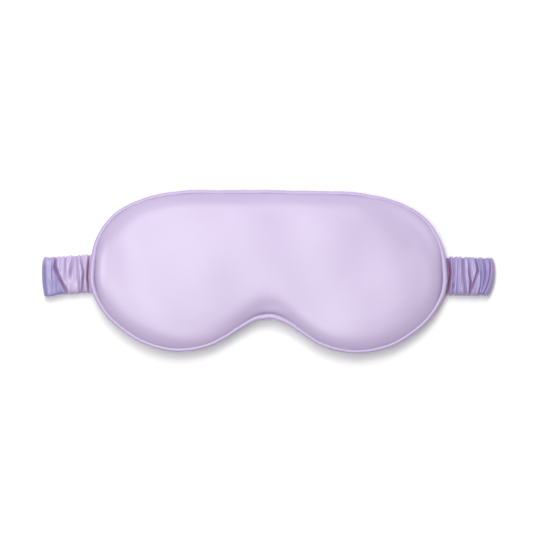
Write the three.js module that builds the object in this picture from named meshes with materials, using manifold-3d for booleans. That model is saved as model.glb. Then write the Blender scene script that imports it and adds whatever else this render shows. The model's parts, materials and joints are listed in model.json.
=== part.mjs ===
// Padded satin sleep mask lying front face up, its elastic strap folded under it and lying flat behind it.
// Millimetres. +Z comes out of the front face, +Y points to the brow, +X to the right seen from the front.
// The origin is on the surface that the strap lies on, under the middle of the outline.

import * as THREE from 'three';
import Module from 'manifold-3d';
import { mergeVertices } from 'three/addons/utils/BufferGeometryUtils.js';

const wasm = await Module();
wasm.setup();

// The outline, to the outer edge of the piping: its turning points and the reach of the curve's handles.
const halfWidth = 108.1;
const browY = 49.05;
const browHandle = 14;
const shoulderX = 35;
const shoulderY = 48.85;
const shoulderHandle = 43.6;
const templeY = -3.25;
const templeUpHandle = 40.3;
const templeDownHandle = 22;
const lobeX = 53.3;
const lobeY = -49.05;
const lobeHandle = 28;
const notchY = -28.95;
const notchHandle = 16.9;
const outlineSteps = 32; // along each half of the outline

// Heights of the layers, and the gap that neighbours keep.
const gap = 0.3;
const panelPly = 0.5;
const backFaceZ = 3.6;
const frontFaceZ = 14.6;
const cordZ = 9.4;
const liningZ = 8.9;
const liningThick = 0.4;

// The piping: a cord in a cover whose two plies run into the seam.
const pipingRadius = 1.3;
const coverThick = 0.35;
const cordRadius = 0.65;
const flangeZ = 8.4; // underside of the lower ply
const flangeInset = 8;

// How far in from the outline each layer's edge lies.
const panelInset = 2.95;
const rimInset = 6.5; // where the back panel starts to rise to the piping
const fillInset = 8.6;
const flatInset = 20; // where the front panel's crown goes flat
const crownInsets = [panelInset, 3.6, 5.5, 9, 14, flatInset]; // where the crown's rings lie

// The strap: a gathered sleeve, drawn here at its mean thickness, round a flat elastic.
const strapY = -2.2;
const sleeveWidth = 22;
const sleeveThick = 3.2;
const sleeveCorner = 1.2;
const sleevePly = 0.5;
const elasticWidth = 19;
const elasticThick = 1;
const elasticCorner = 0.2;
const stubZ = 4.4; // underside of the stub that leaves the seam
const foldX = 133.6; // axis of the fold at each end of the strap
const seamX = 107.9; // axis on which the stub turns at the side seam
const strapEndX = 100; // how far the sewn-in end reaches into the mask
const centreHalf = 36; // half the length of the strap's middle section
const runSections = 3; // on each side, between the middle section and the fold
const sectionLength = (foldX - centreHalf) / runSections;

// The thread.
const threadThick = 0.2;
const threadZ = stubZ + sleeveThick + gap;
const threadInset = 5.3;
const threadWidth = 0.6;
const tackX = 104.2;
const tackLength = 1.4;
const tackWidth = 17;

const colours = {
  satin: { color: 0xddd3ea, roughness: 0.38, metalness: 0 },
  pipingSatin: { color: 0xcdbfe0, roughness: 0.36, metalness: 0 },
  sleeveSatin: { color: 0xbba9d6, roughness: 0.4, metalness: 0 },
  cotton: { color: 0xf1eee8, roughness: 0.95, metalness: 0 },
  wadding: { color: 0xf6f4f1, roughness: 1, metalness: 0 },
  blackout: { color: 0x2a2930, roughness: 0.9, metalness: 0 },
  elastic: { color: 0xefe9f2, roughness: 0.85, metalness: 0 },
  thread: { color: 0xc6b8dc, roughness: 0.7, metalness: 0 },
};

function cubic(...corners) {
  return new THREE.CubicBezierCurve(...corners.map(([x, y]) => new THREE.Vector2(x, y)));
}

// The right half of the outline, from the middle of the brow round the lobe to the nose notch.
function halfOutline() {
  const brow = [0, browY];
  const shoulder = [shoulderX, shoulderY];
  const temple = [halfWidth, templeY];
  const lobe = [lobeX, lobeY];
  const notch = [0, notchY];
  const path = new THREE.CurvePath();
  path.add(cubic(brow, [browHandle, browY], [shoulderX - browHandle, shoulderY], shoulder));
  const overShoulder = [shoulderX + shoulderHandle, shoulderY];
  const overTemple = [halfWidth, templeY + templeUpHandle];
  path.add(cubic(shoulder, overShoulder, overTemple, temple));
  path.add(cubic(temple, [halfWidth, templeY - templeDownHandle], [lobeX + lobeHandle, lobeY], lobe));
  path.add(cubic(lobe, [lobeX - lobeHandle, lobeY], [notchHandle, notchY], notch));
  return path;
}

// Points and outward normals all round the outline, anticlockwise as seen from the front.
function outlineStations() {
  const path = halfOutline();
  const right = [];
  for (let i = 0; i <= outlineSteps; i++) {
    const point = path.getPointAt(i / outlineSteps);
    const along = path.getTangentAt(i / outlineSteps);
    right.push({ x: point.x, y: point.y, nx: -along.y, ny: along.x });
  }
  const left = right.slice(1, -1).map((s) => ({ x: -s.x, y: s.y, nx: -s.nx, ny: s.ny }));
  return [...left, ...right.reverse()];
}

const stations = outlineStations();

function ring([inset, z]) {
  return stations.map((s) => [s.x - s.nx * inset, s.y - s.ny * inset, z]);
}

function surface(rings, faces) {
  const geometry = new THREE.BufferGeometry();
  geometry.setAttribute('position', new THREE.Float32BufferAttribute(rings.flat(2), 3));
  geometry.setIndex(faces);
  return geometry;
}

function bands(rings, closed) {
  const faces = [];
  const size = rings[0].length;
  const bandCount = closed ? rings.length : rings.length - 1;
  for (let i = 0; i < bandCount; i++) {
    const upper = (i + 1) % rings.length;
    for (let j = 0; j < size; j++) {
      const next = (j + 1) % size;
      faces.push(i * size + j, i * size + next, upper * size + next);
      faces.push(i * size + j, upper * size + next, upper * size + j);
    }
  }
  return faces;
}

// A layer of the mask: its section runs from the underside's middle, round the edge, to the top's middle.
function layer(section) {
  const rings = section.map(ring);
  const faces = bands(rings, false);
  const contour = rings[0].map(([x, y]) => new THREE.Vector2(x, y));
  const topStart = (rings.length - 1) * stations.length;
  for (const [a, b, c] of THREE.ShapeUtils.triangulateShape(contour, [])) {
    faces.push(a, c, b);
  }
  const topContour = rings.at(-1).map(([x, y]) => new THREE.Vector2(x, y));
  for (const [a, b, c] of THREE.ShapeUtils.triangulateShape(topContour, [])) {
    faces.push(topStart + a, topStart + b, topStart + c);
  }
  return surface(rings, faces);
}

// A closed hoop of any section that follows the outline.
function hoop(section) {
  const rings = section.map(ring);
  return surface(rings, bands(rings, true));
}

function arcPoints(inset, z, radius, from, to, steps) {
  const points = [];
  for (let i = 0; i <= steps; i++) {
    const angle = from + ((to - from) * i) / steps;
    points.push([inset - radius * Math.cos(angle), z + radius * Math.sin(angle)]);
  }
  return points;
}

// Height of the front panel's outer face, which rises from the piping's groove and levels off at flatInset.
function crownZ(inset) {
  const grooveZ = cordZ + gap + panelPly;
  const remaining = (flatInset - inset) / (flatInset - panelInset);
  return frontFaceZ - (frontFaceZ - grooveZ) * remaining ** 3;
}

function frontPanel() {
  const crown = crownInsets.map((inset) => [inset, crownZ(inset)]);
  const underside = crown.map(([inset, z]) => [inset, z - panelPly]);
  return layer([...underside.reverse(), ...crown]);
}

// A quarter ellipse from the flat of the back panel up to the top of its rim.
function rim(ply) {
  const topZ = flangeZ - gap;
  const points = [];
  for (let i = 0; i <= 4; i++) {
    const angle = (Math.PI * i) / 8;
    const inset = rimInset - (rimInset - panelInset - ply) * Math.sin(angle);
    points.push([inset, topZ - (topZ - backFaceZ - ply) * Math.cos(angle)]);
  }
  return points;
}

// The back panel's rim rises to the piping, and is open where the strap's ends pass through the seam.
function backPanel() {
  const floorZ = backFaceZ + panelPly;
  const outside = [[flatInset, backFaceZ], ...rim(0)];
  const inside = [...rim(panelPly).reverse(), [flatInset, floorZ]];
  let panel = solid(layer([...outside, ...inside]));
  const windowLength = 20;
  const windowHeight = 10;
  for (const side of [-1, 1]) {
    const window = new THREE.BoxGeometry(windowLength, sleeveWidth + 2 * gap, windowHeight);
    const middleX = strapEndX - gap + windowLength / 2;
    window.translate(side * middleX, strapY, floorZ + windowHeight / 2);
    panel = panel.subtract(solid(window));
  }
  return fromSolid(panel);
}

function frontWadding() {
  const low = liningZ + liningThick + gap;
  const top = [fillInset, 12, flatInset].map((inset) => [inset, crownZ(inset) - panelPly - 2 * gap]);
  return layer([[flatInset, low], [fillInset, low], ...top]);
}

function blackoutLining() {
  const high = liningZ + liningThick;
  return layer([[flatInset, liningZ], [fillInset, liningZ], [fillInset, high], [flatInset, high]]);
}

// The back wadding stops short of the strap's sewn-in ends.
function backWadding() {
  const inset = halfWidth - strapEndX + 4 * gap;
  const low = backFaceZ + panelPly + gap;
  const high = liningZ - gap;
  return layer([[flatInset, low], [inset, low], [inset, high], [flatInset, high]]);
}

// The cover goes round the cord and its two plies run inwards side by side, open at their ends.
function pipingCover() {
  const inner = pipingRadius - coverThick;
  const lowerPly = flangeZ + coverThick;
  const upperPly = lowerPly + gap;
  const angleAt = (z, radius) => Math.PI + Math.asin((cordZ - z) / radius);
  const outside = arcPoints(pipingRadius, cordZ, pipingRadius, angleAt(flangeZ, pipingRadius) - 2 * Math.PI,
    angleAt(upperPly + coverThick, pipingRadius), 7);
  const inside = arcPoints(pipingRadius, cordZ, inner, angleAt(upperPly, inner),
    angleAt(lowerPly, inner) - 2 * Math.PI, 6);
  const topPly = [[flangeInset, upperPly + coverThick], [flangeInset, upperPly]];
  const bottomPly = [[flangeInset, lowerPly], [flangeInset, flangeZ]];
  return hoop([...outside, ...topPly, ...inside, ...bottomPly]);
}

function pipingCord() {
  const sides = 6;
  const lastSide = (2 * Math.PI * (sides - 1)) / sides;
  return hoop(arcPoints(pipingRadius, cordZ, cordRadius, 0, lastSide, sides - 1));
}

function perimeterSeam() {
  const low = threadZ;
  const high = threadZ + threadThick;
  const outer = threadInset - threadWidth / 2;
  const inner = threadInset + threadWidth / 2;
  return hoop([[inner, low], [outer, low], [outer, high], [inner, high]]);
}

function roundedRectangle(path, sizeX, sizeY, corner) {
  const x = sizeX / 2 - corner;
  const y = sizeY / 2 - corner;
  path.moveTo(sizeX / 2, -y);
  path.absarc(x, y, corner, 0, Math.PI / 2, false);
  path.absarc(-x, y, corner, Math.PI / 2, Math.PI, false);
  path.absarc(-x, -y, corner, Math.PI, 1.5 * Math.PI, false);
  path.absarc(x, -y, corner, 1.5 * Math.PI, 2 * Math.PI, false);
  return path;
}

// Sections across the strap, its thickness along one axis of the shape and its width along the other.
function sleeveSection(thicknessOnX) {
  const sizes = (thick, width) => (thicknessOnX ? [thick, width] : [width, thick]);
  const shape = roundedRectangle(new THREE.Shape(), ...sizes(sleeveThick, sleeveWidth), sleeveCorner);
  const inner = sizes(sleeveThick - 2 * sleevePly, sleeveWidth - 2 * sleevePly);
  shape.holes.push(roundedRectangle(new THREE.Path(), ...inner, sleeveCorner - sleevePly));
  return shape;
}

function elasticSection(thicknessOnX) {
  const sizes = thicknessOnX ? [elasticThick, elasticWidth] : [elasticWidth, elasticThick];
  return roundedRectangle(new THREE.Shape(), ...sizes, elasticCorner);
}

// A straight piece of the strap from x0 to x1, with its middle at height z.
function straight(section, x0, x1, z) {
  const options = { depth: x1 - x0, bevelEnabled: false, curveSegments: 2 };
  const geometry = new THREE.ExtrudeGeometry(section(true), options);
  geometry.rotateY(Math.PI / 2);
  return geometry.translate(x0, strapY, z);
}

// The fold: the strap turns through half a circle from the run below to the stub above.
class FoldArc extends THREE.Curve {
  constructor(side) {
    super();
    this.side = side;
    this.radius = stubZ / 2;
    this.middleZ = (sleeveThick + stubZ) / 2;
  }

  getPoint(t, point = new THREE.Vector3()) {
    const angle = Math.PI * (t - 0.5);
    const x = this.side * (foldX + this.radius * Math.cos(angle));
    return point.set(x, strapY, this.middleZ + this.radius * Math.sin(angle));
  }
}

function folded(section, side) {
  const options = { steps: 6, extrudePath: new FoldArc(side), curveSegments: 2 };
  return new THREE.ExtrudeGeometry(section(false), options);
}

// Booleans need a mesh whose corners are shared.
function solid(geometry) {
  const bare = new THREE.BufferGeometry();
  bare.setAttribute('position', geometry.getAttribute('position').clone());
  if (geometry.index) bare.setIndex(geometry.index.clone());
  const merged = mergeVertices(bare, 1e-4);
  const vertProperties = new Float32Array(merged.getAttribute('position').array);
  const triVerts = new Uint32Array(merged.index.array);
  return new wasm.Manifold(new wasm.Mesh({ numProp: 3, vertProperties, triVerts }));
}

function fromSolid(manifold) {
  const mesh = manifold.getMesh();
  const geometry = new THREE.BufferGeometry();
  geometry.setAttribute('position', new THREE.Float32BufferAttribute(mesh.vertProperties, 3));
  geometry.setIndex(Array.from(mesh.triVerts));
  return geometry;
}

const mask = new THREE.Group();

function add(name, geometry, colour) {
  geometry.computeVertexNormals();
  const mesh = new THREE.Mesh(geometry, new THREE.MeshStandardMaterial(colours[colour]));
  mesh.name = name;
  mask.add(mesh);
}

// A length of strap is its sleeve and the elastic inside it.
function addStrap(name, x0, x1, z) {
  add(`${name}_sleeve`, straight(sleeveSection, x0, x1, z), 'sleeveSatin');
  add(`${name}_elastic`, straight(elasticSection, x0, x1, z), 'elastic');
}

add('front_panel', frontPanel(), 'satin');
add('front_wadding', frontWadding(), 'wadding');
add('blackout_lining', blackoutLining(), 'blackout');
add('back_wadding', backWadding(), 'wadding');
add('back_panel', backPanel(), 'satin');
add('piping_cover', pipingCover(), 'pipingSatin');
add('piping_cord', pipingCord(), 'cotton');
add('perimeter_seam', perimeterSeam(), 'thread');

const runZ = sleeveThick / 2;
const upperZ = stubZ + sleeveThick / 2;
addStrap('strap_centre', -centreHalf + gap / 2, centreHalf - gap / 2, runZ);

for (const [label, side] of [['left', -1], ['right', 1]]) {
  const span = (a, b) => [Math.min(side * a, side * b), Math.max(side * a, side * b)];
  for (let i = 0; i < runSections; i++) {
    const start = centreHalf + i * sectionLength + gap / 2;
    const last = i === runSections - 1;
    const end = centreHalf + (i + 1) * sectionLength - (last ? gap : gap / 2);
    addStrap(`${label}_strap_${i + 1}`, ...span(start, end), runZ);
  }
  add(`${label}_fold_sleeve`, folded(sleeveSection, side), 'sleeveSatin');
  add(`${label}_fold_elastic`, folded(elasticSection, side), 'elastic');
  addStrap(`${label}_stub`, ...span(seamX + gap, foldX - gap), upperZ);
  addStrap(`${label}_strap_end`, ...span(strapEndX, seamX - gap), upperZ);
  const tack = new THREE.BoxGeometry(tackLength, tackWidth, threadThick);
  tack.translate(side * tackX, strapY, threadZ + threadThick / 2);
  add(`${label}_bar_tack`, tack, 'thread');
}

export default mask;
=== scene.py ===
"""A padded satin sleep mask: crowned panels, a piped edge and a gathered strap. Lengths are in mm."""

import json

import bpy
import numpy as np
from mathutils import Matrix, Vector
from mathutils.bvhtree import BVHTree
from mathutils.geometry import delaunay_2d_cdt


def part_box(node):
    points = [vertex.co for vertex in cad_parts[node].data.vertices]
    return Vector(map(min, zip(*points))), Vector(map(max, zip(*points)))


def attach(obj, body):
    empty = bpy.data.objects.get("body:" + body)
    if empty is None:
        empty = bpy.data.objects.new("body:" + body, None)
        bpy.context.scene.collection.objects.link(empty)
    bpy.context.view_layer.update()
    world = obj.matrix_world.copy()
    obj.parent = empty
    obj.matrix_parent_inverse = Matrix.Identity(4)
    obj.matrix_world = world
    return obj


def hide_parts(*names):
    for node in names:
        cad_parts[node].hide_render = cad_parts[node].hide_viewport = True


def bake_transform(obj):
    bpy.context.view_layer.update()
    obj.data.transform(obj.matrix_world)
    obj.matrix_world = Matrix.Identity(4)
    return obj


MM = 0.001
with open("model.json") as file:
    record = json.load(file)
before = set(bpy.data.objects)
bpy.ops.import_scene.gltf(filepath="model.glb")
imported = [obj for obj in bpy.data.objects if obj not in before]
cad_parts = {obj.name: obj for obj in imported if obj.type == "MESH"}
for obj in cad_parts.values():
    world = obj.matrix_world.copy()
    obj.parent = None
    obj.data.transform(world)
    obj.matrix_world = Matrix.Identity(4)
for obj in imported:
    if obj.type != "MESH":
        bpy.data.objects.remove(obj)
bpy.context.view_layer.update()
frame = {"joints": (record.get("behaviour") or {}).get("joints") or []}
scene = bpy.context.scene


def box_mm(node):
    low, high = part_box(node)
    return np.array(low) / MM, np.array(high) / MM


# ---- places taken from the CAD nodes

PIPE_LOW, PIPE_HIGH = box_mm("piping_cover")
HALF_WIDTH = PIPE_HIGH[0]
PIPE_R = (PIPE_HIGH[2] - PIPE_LOW[2]) / 2
PIPE_Z = (PIPE_HIGH[2] + PIPE_LOW[2]) / 2
FRONT_Z = box_mm("front_panel")[1][2]
BACK_Z = box_mm("back_panel")[0][2]
LINING_LOW, LINING_HIGH = box_mm("blackout_lining")
BACK_FILL_LOW, BACK_FILL_HIGH = box_mm("back_wadding")
THREAD_LOW, THREAD_HIGH = box_mm("perimeter_seam")
TACK_LOW, TACK_HIGH = box_mm("right_bar_tack")
RUN_LOW, RUN_HIGH = box_mm("strap_centre_sleeve")
STUB_LOW, STUB_HIGH = box_mm("right_stub_sleeve")
END_LOW, END_HIGH = box_mm("right_strap_end_sleeve")
ELASTIC_LOW, ELASTIC_HIGH = box_mm("strap_centre_elastic")
FOLD_X = box_mm("right_fold_sleeve")[0][0]
STRAP_Y = (RUN_LOW[1] + RUN_HIGH[1]) / 2
STRAP_HALF = (RUN_HIGH[1] - RUN_LOW[1]) / 2
RUN_Z = (RUN_LOW[2] + RUN_HIGH[2]) / 2
STUB_Z = (STUB_LOW[2] + STUB_HIGH[2]) / 2
FOLD_R = (STUB_Z - RUN_Z) / 2
SEAM_X = (STUB_LOW[0] + END_HIGH[0]) / 2


# ---- meshes

def add_object(name, points, faces, fields=None):
    """A smooth mesh object. fields are attributes of its points: one number each, or three."""
    mesh = bpy.data.meshes.new(name)
    mesh.from_pydata((np.asarray(points) * MM).tolist(), [], [tuple(map(int, f)) for f in faces])
    for key, values in (fields or {}).items():
        values = np.asarray(values, np.float32)
        kind, slot = ("FLOAT", "value") if values.ndim == 1 else ("FLOAT_VECTOR", "vector")
        mesh.attributes.new(key, kind, "POINT").data.foreach_set(slot, values.ravel())
    mesh.polygons.foreach_set("use_smooth", [True] * len(mesh.polygons))
    obj = bpy.data.objects.new(name, mesh)
    scene.collection.objects.link(obj)
    return obj


def grid_faces(rows, cols, wrap_rows=False, start=0, flip=False):
    """Quads between the rows of a grid of points whose columns close on themselves."""
    faces = []
    for i in range(rows if wrap_rows else rows - 1):
        here, after = start + i * cols, start + (i + 1) % rows * cols
        for j in range(cols):
            k = (j + 1) % cols
            face = (here + j, here + k, after + k, after + j)
            faces.append((face[0], *face[:0:-1]) if flip else face)
    return faces


def dress(obj, slot, *nodes):
    """Gives a piece its material, and hides the CAD nodes it stands for."""
    obj.data.materials.append(MATERIALS[slot])
    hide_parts(*nodes)


def on_mask(obj, slot, node):
    dress(obj, slot, node)
    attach(obj, "mask")


# ---- curves that the shapes are made of

def ease(t):
    """0 up to 0, 1 from 1 on, and a smooth step between."""
    t = np.clip(t, 0, 1)
    return t * t * (3 - 2 * t)


def step(at, start, length):
    """0 up to start, easing to 1 over the length."""
    return ease((at - start) / length)


def hump(at, middle, width):
    """1 at the middle, fading on both sides over the width."""
    return np.exp(-((at - middle) / width) ** 2)


def decay(at, start, length):
    """1 up to start, then fading over the length."""
    return np.exp(-np.maximum(at - start, 0) / length)


# ---- the outline

# Corners of the cubic curves along the outline's right half, from the brow round the lobe to the notch,
# for a mask 216.2 wide and 98.1 high. They are scaled to the piping's box.
OUTLINE = [
    (0, 49.05), (14, 49.05), (21, 48.85),
    (35, 48.85), (78.6, 48.85), (108.1, 37.05),
    (108.1, -3.25), (108.1, -25.25), (81.3, -49.05),
    (53.3, -49.05), (25.3, -49.05), (16.9, -28.95),
    (0, -28.95),
]
CURVE_STEPS = 80  # points along each cubic curve
EDGE_POINTS = 1400  # points of the outline that distances are measured from


def outline(count):
    """Even points and outward normals round the outline, anticlockwise from the notch, and its length."""
    corners = np.array(OUTLINE, float)
    t = np.linspace(0, 1, CURVE_STEPS, endpoint=False)[:, None]
    arcs = []
    for i in range(0, len(corners) - 1, 3):
        a, b, c, d = corners[i:i + 4]
        arcs.append(a * (1 - t) ** 3 + 3 * b * t * (1 - t) ** 2 + 3 * c * t * t * (1 - t) + d * t ** 3)
    half = np.concatenate([*arcs, corners[-1:]])
    low, high = corners.min(axis=0), corners.max(axis=0)
    half[:, 0] *= HALF_WIDTH / high[0]
    half[:, 1] = np.interp(half[:, 1], [low[1], high[1]], [PIPE_LOW[1], PIPE_HIGH[1]])
    loop = np.concatenate([half[::-1], half[1:] * [-1, 1]])
    run = np.concatenate([[0], np.cumsum(np.linalg.norm(np.diff(loop, axis=0), axis=1))])
    at = np.linspace(0, run[-1], count, endpoint=False)
    points = np.stack([np.interp(at, run, loop[:, k]) for k in (0, 1)], axis=1)
    along = np.roll(points, -1, axis=0) - np.roll(points, 1, axis=0)
    along /= np.linalg.norm(along, axis=1)[:, None]
    return points, np.stack([along[:, 1], -along[:, 0]], axis=1), run[-1]


EDGE, _, EDGE_LENGTH = outline(EDGE_POINTS)


def inset_of(points):
    """How far each point is from the outline."""
    found = np.empty(len(points))
    batch = 500
    for i in range(0, len(points), batch):
        away = points[i:i + batch, None, :2] - EDGE[None]
        found[i:i + batch] = np.sqrt((away ** 2).sum(axis=2).min(axis=1))
    return found


def within(points):
    """Whether each point is inside the outline, from how often a line out of it crosses the edge."""
    a, b = EDGE, np.roll(EDGE, -1, axis=0)
    y = points[:, 1, None]
    spans = (a[None, :, 1] > y) != (b[None, :, 1] > y)
    rise = np.where(spans, b[:, 1] - a[:, 1], 1)
    cross = a[:, 0] + (y - a[:, 1]) / rise * (b[:, 0] - a[:, 0])
    return (spans & (cross > points[:, 0, None])).sum(axis=1) % 2 == 1


ROW_PITCH = 0.866  # rows of a triangular grid whose spacing is 1
GRID_CLEAR = 0.6  # least distance from the last ring to the grid, for the same spacing


def layout(count, insets, spacing):
    """Flat points and faces that fill the outline: rings at the insets, and a grid inside the last."""
    points, outward, _ = outline(count)
    rings = np.concatenate([points - outward * inset for inset in insets])
    last = (len(insets) - 1) * count
    rows = np.arange(PIPE_LOW[1], PIPE_HIGH[1], spacing * ROW_PITCH)
    cols = np.arange(-HALF_WIDTH, HALF_WIDTH, spacing)
    grid = np.array([(x + spacing / 2 * (i % 2), y) for i, y in enumerate(rows) for x in cols])
    grid = grid[within(grid)]
    grid = grid[inset_of(grid) > insets[-1] + GRID_CLEAR * spacing]
    flat = [Vector(p) for p in [*rings[last:].tolist(), *grid.tolist()]]
    ring = list(range(count))
    keep_inside, tolerance = 1, 1e-7
    _, _, triangles, origins, _, _ = delaunay_2d_cdt(flat, [], [ring], keep_inside, tolerance)
    middle = []
    for triangle in triangles:
        a, b, c = (origins[v][0] for v in triangle)
        turn = (flat[b] - flat[a]).cross(flat[c] - flat[a])
        middle.append((last + a, last + b, last + c) if turn > 0 else (last + a, last + c, last + b))
    return np.concatenate([rings, grid]), grid_faces(len(insets), count) + middle


def closed_between(name, flat, faces, count, top, bottom, fields):
    """A closed piece with that flat layout between two sets of heights, and count points round its edge."""
    size = len(flat)
    points = np.concatenate([np.column_stack([flat, top]), np.column_stack([flat, bottom])])
    under = [tuple(size + v for v in reversed(f)) for f in faces]
    rim = [(size + j, size + (j + 1) % count, (j + 1) % count, j) for j in range(count)]
    doubled = {key: np.concatenate([value, value]) for key, value in fields.items()}
    return add_object(name, points, faces + under + rim, doubled)


# ---- the padded panels

SKIN = 0.4  # thickness of a panel
EDGE_SKIN = 0.12  # and of its edge
GROOVE = 2.1  # inset at which the panels meet the piping
FRONT_EDGE_Z = PIPE_Z + 1.03  # the panels rest on the piping's shoulder, front and back
BACK_EDGE_Z = PIPE_Z - 1.1
MOUTH_EDGE_Z = STUB_LOW[2] - 0.85  # the back panel passes under the strap at its seams
MOUTH_MARGIN = 3.5  # how far beside the strap the back panel takes to come back up
CROWN_REACH = 14  # from the groove to the full height of the front, where nothing changes it
CROWN_POWER = 3  # how round the front's shoulder is
BACK_REACH = 9
BACK_POWER = 2.6
FRONT_CROWN = FRONT_Z + 0.1
BACK_CROWN = BACK_Z + 0.1
DOME_SHARE = 0.55  # how much of the pillow's own dome the front cover takes
LIP = [(3.3, -1.3), (2.8, -0.85), (2.4, -0.35)]  # the front's hidden way up from the seam: inset, height
FRONT_RINGS = [2.1, 2.2, 2.4, 2.7, 3.1, 3.6, 4.3, 5.1, 6, 7, 8.2, 9.6, 11.2, 13, 15, 17.2]
BACK_RINGS = [2.3, 2.55, 2.95, 3.5, 4.2, 5, 5.8, 6.7, 7.7, 8.9, 10.3, 11.9, 13.7, 15.7, 18]
FILL_RINGS = [9.6, 10.2, 11.5, 13.5, 16, 19]
PILLOW_RINGS = [GROOVE, 5.2, 8, 11, 14.2]


def rise(inset, reach, power):
    """0 at the groove, easing to 1 at reach from it."""
    return 1 - (1 - np.clip((inset - GROOVE) / reach, 0, 1)) ** power


def mouth(flat):
    """1 where the strap passes through the side seam, easing to 0 beside it."""
    beside = ease((STRAP_HALF + MOUTH_MARGIN - np.abs(flat[:, 1] - STRAP_Y)) / MOUTH_MARGIN)
    return beside * step(np.abs(flat[:, 0]), 84, 12)


def front_height(flat, inset, top):
    """The front climbs from its seam to its crown: soonest at the left end, and last at the upper right."""
    x, y = flat[:, 0], flat[:, 1]
    left_end = step(-x, 78, 26) * hump(y, 1, 17)
    low = step(-y, 5, 20)
    upper_left = step(-x, 50, 25) * step(y, 12, 18)
    upper_right = step(x, 50, 30) * step(y, 2, 22)
    reach = CROWN_REACH * (1 + 0.4 * low + 0.35 * upper_left + 1.1 * upper_right)
    return FRONT_EDGE_Z + (top - FRONT_EDGE_Z) * rise(inset, reach, CROWN_POWER + 1.3 * left_end)


def back_height(flat, inset, bottom):
    share = mouth(flat)
    edge = BACK_EDGE_Z * (1 - share) + MOUTH_EDGE_Z * share
    return edge + (bottom - edge) * rise(inset, BACK_REACH, BACK_POWER)


def inflated():
    """The stuffed body as a closed pillow, pressed out by a cloth simulation that holds its seam still."""
    count, spacing = 190, 3.3
    flat, faces = layout(count, PILLOW_RINGS, spacing)
    inset = inset_of(flat)
    front_swell, back_swell, most_moved = 1.2, 1, 2.6
    top = front_height(flat, inset, FRONT_Z - front_swell)
    bottom = back_height(flat, inset, BACK_Z + back_swell)
    seam_drop = 1.8
    top[:count] = bottom[:count] = FRONT_EDGE_Z - seam_drop
    size = len(flat)
    shared = [v if v < count else size - count + v for v in range(size)]
    points = np.concatenate([np.column_stack([flat, top]), np.column_stack([flat, bottom])[count:]])
    under = [tuple(shared[v] for v in reversed(f)) for f in faces]
    pillow = add_object("pillow", points, faces + under)
    press_out(pillow, list(range(count)), most_moved)
    pillow.modifiers.new("relax", "SMOOTH").iterations = 8
    pillow.modifiers.new("smooth", "SUBSURF").levels = 2
    tree = BVHTree.FromObject(pillow, bpy.context.evaluated_depsgraph_get())
    bpy.data.objects.remove(pillow)
    return tree


def press_out(pillow, held, most):
    """Runs the cloth under pressure, with the held points still, and moves no point further than most."""
    group = pillow.vertex_groups.new(name="seam")
    group.add(held, 1, "REPLACE")
    cloth = pillow.modifiers.new("cloth", "CLOTH")
    fabric = {
        "quality": 8, "mass": 0.15, "tension_stiffness": 15, "compression_stiffness": 15,
        "shear_stiffness": 5, "bending_stiffness": 3, "vertex_group_mass": group.name,
        "use_pressure": True, "uniform_pressure_force": 4,
    }
    for key, value in fabric.items():
        setattr(cloth.settings, key, value)
    cloth.settings.effector_weights.gravity = 0
    first, last = 1, 20
    cloth.point_cache.frame_start, cloth.point_cache.frame_end = first, last
    for moment in range(first, last + 1):
        scene.frame_set(moment)
    pressed = pillow.evaluated_get(bpy.context.evaluated_depsgraph_get()).data
    size = len(pillow.data.vertices)
    after, before = np.empty(size * 3), np.empty(size * 3)
    pressed.vertices.foreach_get("co", after)
    pillow.data.vertices.foreach_get("co", before)
    moved = (after - before).reshape(-1, 3) / MM
    far = np.linalg.norm(moved, axis=1)
    moved *= np.minimum(1, most / np.maximum(far, 1e-9))[:, None]
    pillow.modifiers.remove(cloth)
    pillow.data.vertices.foreach_set("co", before + moved.ravel() * MM)
    pillow.data.update()
    scene.frame_set(first)


def heights(tree, flat, side):
    """Height of the pillow's surface at each flat point, seen from its front (side 1) or back (side -1)."""
    found = np.empty(len(flat))
    outside = 0.1  # metres off the mask's origin
    for i, (x, y) in enumerate(flat * MM):
        hit = tree.ray_cast(Vector((x, y, outside * side)), Vector((0, 0, -side)))[0]
        found[i] = hit.z / MM if hit else np.nan
    return found


def puckers(arc, inset, seed, size):
    """Small gathers where the seam pulls the satin in, fading away from it."""
    rng = np.random.default_rng(seed)
    total = np.zeros(len(arc))
    for waves in (37, 52, 71, 88):
        reach = rng.uniform(0.6, 1)
        total += reach * np.sin(2 * np.pi * waves * arc / EDGE_LENGTH + rng.uniform(0, 2 * np.pi))
    return size * total * decay(inset, 3.2, 3.4)


def slow_waves(flat, seed, size):
    """Broad, low waves of the filling under the satin."""
    rng = np.random.default_rng(seed)
    total = np.zeros(len(flat))
    for length in (38, 52, 71, 90):
        angle = rng.uniform(0, np.pi)
        across = flat @ [np.cos(angle), np.sin(angle)]
        total += np.sin(2 * np.pi * across / length + rng.uniform(0, 2 * np.pi))
    return size * total / 2


def dents(flat):
    """Broad hollows of the front: above the notch, and where the filling is thin or the satin slack."""
    x, y = flat[:, 0], flat[:, 1]
    valley = 1.3 * hump(x, 1, 9) * hump(y, -29, 13)
    upper_right = 1.9 * hump(x, 104, 30) * hump(y, 34, 24)
    left_end = 1.8 * hump(x, -105, 20) * hump(y, 2, 19)
    slack = 0.5 * hump(x, -34, 13) * hump(y, -36, 10)
    return valley + upper_right + left_end + slack


def tightness(flat):
    """How hard the seam pulls the panel in: most at the notch and where the strap is sewn in."""
    x, y = flat[:, 0], flat[:, 1]
    ends = step(np.abs(x), 96, 9) * hump(y, STRAP_Y - 2, 15)
    notch = hump(x, 0, 10) * hump(y, -29, 9)
    least = 0.04
    return least + (1 - least) * np.minimum(1, ends + notch)


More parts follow.
